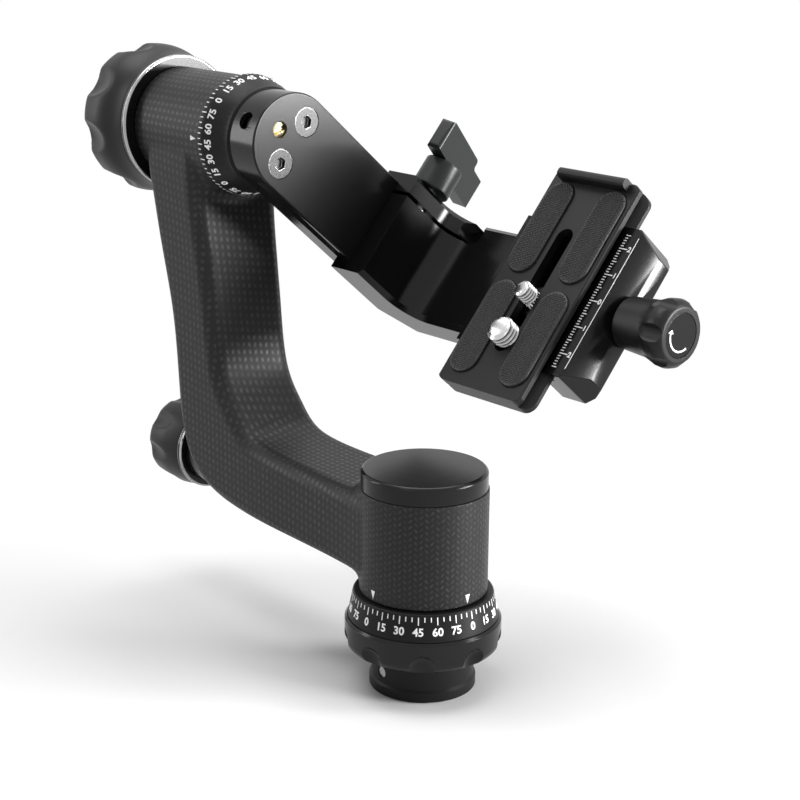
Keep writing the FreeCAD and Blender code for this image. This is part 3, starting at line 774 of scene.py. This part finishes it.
# The jaw's ruler: white ticks every millimetre, longer at each half and whole centimetre,
# with the centimetres numbered both ways from nought and a line along the outer edge.
def row_of_ticks():
    """Ticks along Y at each millimetre, longer at every fifth and longest at every tenth."""
    tree, nodes, size = new_tree("row_of_ticks", Count=50, Pitch=0.001, Short=0.001, Middle=0.0016,
                                 Long=0.003, Width=0.0003, Thick=0.00006)
    spots = nodes.node("GeometryNodeMeshLine", {"mode": "OFFSET"},
                       {"Count": size["Count"], "Offset": nodes.joined(0.0, size["Pitch"], 0.0)})
    index = nodes.node("GeometryNodeInputIndex")
    fifth = ((index + 5.0) % 5.0) < 0.5
    tenth = ((index + 5.0) % 10.0) < 0.5
    past_short = fifth * (size["Middle"] - size["Short"])
    length = size["Short"] + past_short + tenth * (size["Long"] - size["Middle"])
    bar = nodes.node("GeometryNodeMeshCube", None, {"Size": nodes.joined(1.0, size["Width"], size["Thick"])})
    bar = nodes.node("GeometryNodeTransform", None, {"Geometry": bar, "Translation": (0.5, 0, 0)})
    ticks = nodes.node("GeometryNodeInstanceOnPoints", None,
                       {"Points": spots, "Instance": bar, "Scale": nodes.joined(length, 1.0, 1.0)})
    finish_tree(nodes, ticks, print_white)
    return tree


def on_jaw(x, l, lift):
    """The place of a mark on the jaw's top."""
    return to_swing @ Matrix.Translation((x, l, jaw_top + lift))


jaw_top, ruler_half, ruler_x, figure_x = -0.0684, 0.025, 0.0202, 0.0244
line_x0, line_x1, line_l0, line_l1 = 0.02552, 0.0258, -0.0248, 0.0246
ruler = [from_geometry_nodes("ruler_ticks", row_of_ticks(),
                             {"Count": 51, "Pitch": 0.001, "Short": 0.0012, "Middle": 0.0019,
                              "Long": 0.0034, "Width": 0.00034})]
ruler[0].transform(on_jaw(ruler_x, -ruler_half, 0.00003))
for centimetre in range(-2, 3):
    figure = scale_figure(str(abs(centimetre)), 0.0019)
    figure.transform(on_jaw(figure_x, centimetre * 0.01, 0.00004))
    ruler.append(figure)
edge_line = flat_shape("edge_line", [[(line_x0, line_l0), (line_x1, line_l0), (line_x1, line_l1),
                                      (line_x0, line_l1)]])
edge_line.transform(on_jaw(0, 0, 0.00002))
printed("ruler_print", ruler + [edge_line], "jaw")


# Turning mark on the clamp knob's cap: a white curved arrow printed on its end.
def curved_arrow(radius, start, end, width):
    """An arc band with an arrowhead past its end."""
    steps, head_half, head_turn = 14, 2.2 * width, math.copysign(14, end - start)

    def at(r, degrees):
        return r * math.cos(math.radians(degrees)), r * math.sin(math.radians(degrees))

    turns = [start + (end - start) * k / steps for k in range(steps + 1)]
    bands = [[at(radius - width / 2, a), at(radius + width / 2, a), at(radius + width / 2, b),
              at(radius - width / 2, b)] for a, b in zip(turns, turns[1:])]
    head = [at(radius - head_half, end), at(radius + head_half, end), at(radius, end + head_turn)]
    return flat_shape("curved_arrow", bands + [head])


arrow = curved_arrow(0.0052, 250, 115, 0.0006)
arrow.transform(to_swing @ Matrix.Translation((0.05192, 0, -0.0786)) @ z_to_x)
printed("knob_arrow", [arrow], "jaw_knob")


# Camera plate: satin anodised, with four round-ended rubber pads let into its top. Each
# pad has a fine knurl of small four-sided points.
def knurl():
    """Small four-sided points on a staggered grid inside a round-ended pad."""
    tree, nodes, size = new_tree("knurl", Across=19, Along=55, Pitch=0.00064, Half=0.0054, Reach=0.0172,
                                 Point=0.00046, Rise=0.0003)
    grid = nodes.node("GeometryNodeMeshGrid", None,
                      {"Vertices X": size["Across"], "Vertices Y": size["Along"],
                       "Size X": (size["Across"] - 1) * size["Pitch"],
                       "Size Y": (size["Along"] - 1) * size["Pitch"]})
    x, y, z = nodes.split(nodes.node("GeometryNodeInputPosition"))
    stagger = (nodes.node("GeometryNodeInputIndex") % 2.0) * size["Pitch"] * 0.5
    over = y.size() - (size["Reach"] - size["Half"])
    over = over * (over > 0.0)
    outside = (x * x + over * over).root() > size["Half"]
    points = nodes.node("GeometryNodeMeshToPoints", None, {"Mesh": grid})
    points = nodes.node("GeometryNodeDeleteGeometry", {"domain": "POINT"},
                        {"Geometry": points, "Selection": outside})
    points = nodes.node("GeometryNodeSetPosition", None,
                        {"Geometry": points, "Offset": nodes.joined(stagger, 0.0, 0.0)})
    cone = nodes.node("GeometryNodeMeshCone", None, {"Vertices": 4, "Side Segments": 1, "Fill Segments": 1,
                                                     "Radius Top": size["Point"] * 0.3,
                                                     "Radius Bottom": size["Point"], "Depth": size["Rise"]})
    tips = nodes.node("GeometryNodeInstanceOnPoints", None, {"Points": points, "Instance": cone})
    finish_tree(nodes, tips, pad_rubber)
    return tree


plate_satin = Finish("plate_satin_anodised", Specular_IOR_Level=0.25)
plate_satin.speckled(grey(0.008), grey(0.012), 40.0)
plate_satin.grained(2400.0, 0.36, 0.12)
eased("camera_plate", plate_satin, 0.0003)
pad_rubber = Finish("pad_rubber", Roughness=0.5, Specular_IOR_Level=0.45)
pad_rubber.speckled(grey(0.016), grey(0.04), 1200.0)
knurl_tree = knurl()
pad_x, pad_l, knurl_foot = 0.01155, 0.0196, -0.06349
for node, x, l in (("pad_a", -pad_x, -pad_l), ("pad_b", -pad_x, pad_l),
                   ("pad_c", pad_x, -pad_l), ("pad_d", pad_x, pad_l)):
    eased(node, pad_rubber, 0.0003)
    points = from_geometry_nodes(node + "_knurl", knurl_tree, {})
    points.transform(to_swing @ Matrix.Translation((x, l, knurl_foot)))
    ridden(node + "_knurl", points, "plate")


# Camera screws: two bright captive screws in the plate's slot, 1/4 and 3/8 inch. The foot
# of each is the CAD screw, and its thread is wound above the plate, with painted shade in its grooves.
def thread(radius, pitch, l):
    """A single-start thread on a plain core, with a blunt top; each point keeps how deep in the groove it
    lies, for painted shade in the grooves.
    """
    low, sides, rows_a_turn, blunt_turns = thread_foot - 0.0001, 64, 16, 0.8
    steps = int((thread_top - low) / pitch * rows_a_turn)
    rings, depth = [], []
    for i in range(steps + 1):
        h = low + (thread_top - low) * i / steps
        blunt = max(0.0, 1 - (thread_top - h) / (blunt_turns * pitch))
        ring = []
        for k in range(sides):
            a = 2 * math.pi * k / sides
            groove_and_shade = 0.5 - 0.5 * math.cos(2 * math.pi * (h - low) / pitch - a)
            r = radius - 0.45 * pitch * groove_and_shade - blunt ** 2 * 0.7 * pitch
            ring.append(swing_point(r * math.cos(a), l + r * math.sin(a), h))
            # Painted shade: how deep in the groove each point lies, none on the blunt top.
            depth.append(groove_and_shade * (1 - blunt))
        rings.append(ring)
    mesh = skinned("thread", rings, bright_steel, 55)
    mesh.attributes.new("groove_and_shade", "FLOAT", "POINT").data.foreach_set("value", depth)
    return mesh


def cut_foot(node):
    """The CAD screw cut off where its thread starts."""
    mesh = frame["nodes"][node].data.copy()
    mesh.materials.clear()
    work = bmesh.new()
    work.from_mesh(mesh)
    bmesh.ops.remove_doubles(work, verts=work.verts, dist=2e-6)
    cut = bmesh.ops.bisect_plane(work, geom=work.verts[:] + work.edges[:] + work.faces[:], clear_outer=True,
                                 plane_co=swing_point(0, 0, thread_foot),
                                 plane_no=swing_point(0, 0, 1) - swing_point(0, 0, 0))
    rim = [edge for edge in cut["geom_cut"] if isinstance(edge, bmesh.types.BMEdge)]
    bmesh.ops.edgeloop_fill(work, edges=rim)
    work.to_mesh(mesh)
    work.free()
    mesh.materials.append(bright_steel.material)
    mesh.shade_smooth()
    mesh.set_sharp_from_angle(angle=math.radians(35))
    return mesh


bright_steel = Finish("bright_screw_steel", Metallic=1.0)
bright_steel.grained(1500.0, 0.2, 0.06, 3.0)
# Painted shade: the thread's grooves are coloured dark grey and its crests bright steel.
groove_and_shade = bright_steel.node("ShaderNodeAttribute", {"attribute_name": "groove_and_shade"}, out="Fac")
bright_steel.set(Base_Color=bright_steel.mix(groove_and_shade, grey(0.6), grey(0.07)))
thread_foot, thread_top = -0.0641, -0.0590
for node, radius, pitch, l, body in (("screw_quarter", 0.003175, 0.00127, -0.0055, "screw_small"),
                                     ("screw_three_eighth", 0.00476, 0.0015875, -0.0207, "screw_large")):
    stand_for(node + "_foot", cut_foot(node), node)
    ridden(node + "_thread", thread(radius, pitch, l), body)
